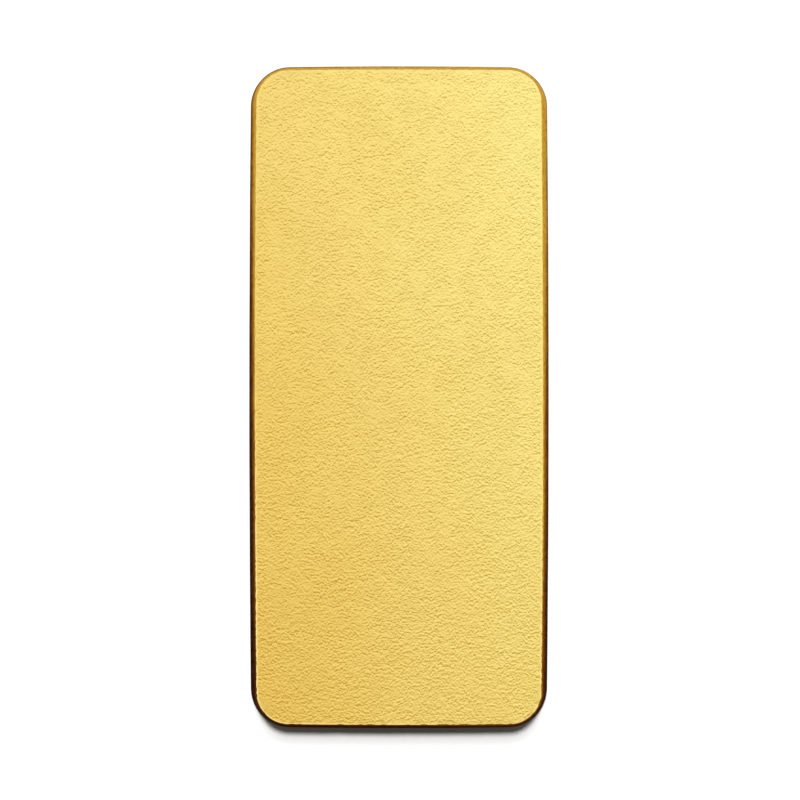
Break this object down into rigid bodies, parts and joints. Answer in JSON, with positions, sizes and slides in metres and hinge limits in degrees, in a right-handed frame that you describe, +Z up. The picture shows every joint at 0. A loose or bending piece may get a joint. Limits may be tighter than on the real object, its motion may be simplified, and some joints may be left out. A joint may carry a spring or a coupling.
{
  "type": "metal ingot",
  "caption": "Flat cast metal ingot with leaning walls, bowed sides, round corners, a grained mould face and a slightly hollow pour face; lies flat and stacks.",
  "frame": {"origin": "middle of the plane that the bar rests on, with its pour face down", "axes": "+Z up, out of the flat mould face; +Y along the bar; +X across it"},
  "size_m": [0.053, 0.117, 0.0089],
  "materials": {
    "cast_gold": "satin"
  },
  "bodies": {
    "root": {"ingot": "cast_gold"}
  },
  "joints": []
}
